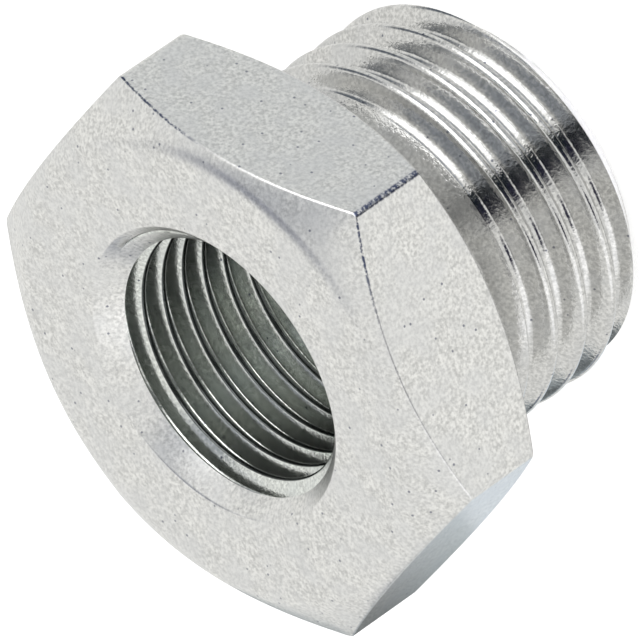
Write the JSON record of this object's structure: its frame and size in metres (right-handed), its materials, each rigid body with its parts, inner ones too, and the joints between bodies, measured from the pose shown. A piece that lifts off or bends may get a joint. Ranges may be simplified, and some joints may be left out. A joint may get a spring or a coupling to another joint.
{
  "type": "hex bushing",
  "caption": "Threaded reducing bushing: a chamfered hexagon head on a short threaded shank, open along its axis through a smaller threaded bore.",
  "frame": {"origin": "centre of the shank's end face, which is the plane the bushing stands on", "axes": "+Z along the axis from the shank's end to the head's face; +X through a corner of the hexagon, +Y square to one of its flats"},
  "size_m": [0.0196, 0.017, 0.013],
  "materials": {
    "nickel_plated_brass": "matt nickel plate over turned brass, fine grey grain"
  },
  "bodies": {
    "root": {"hex_bushing": "nickel_plated_brass"}
  },
  "joints": []
}
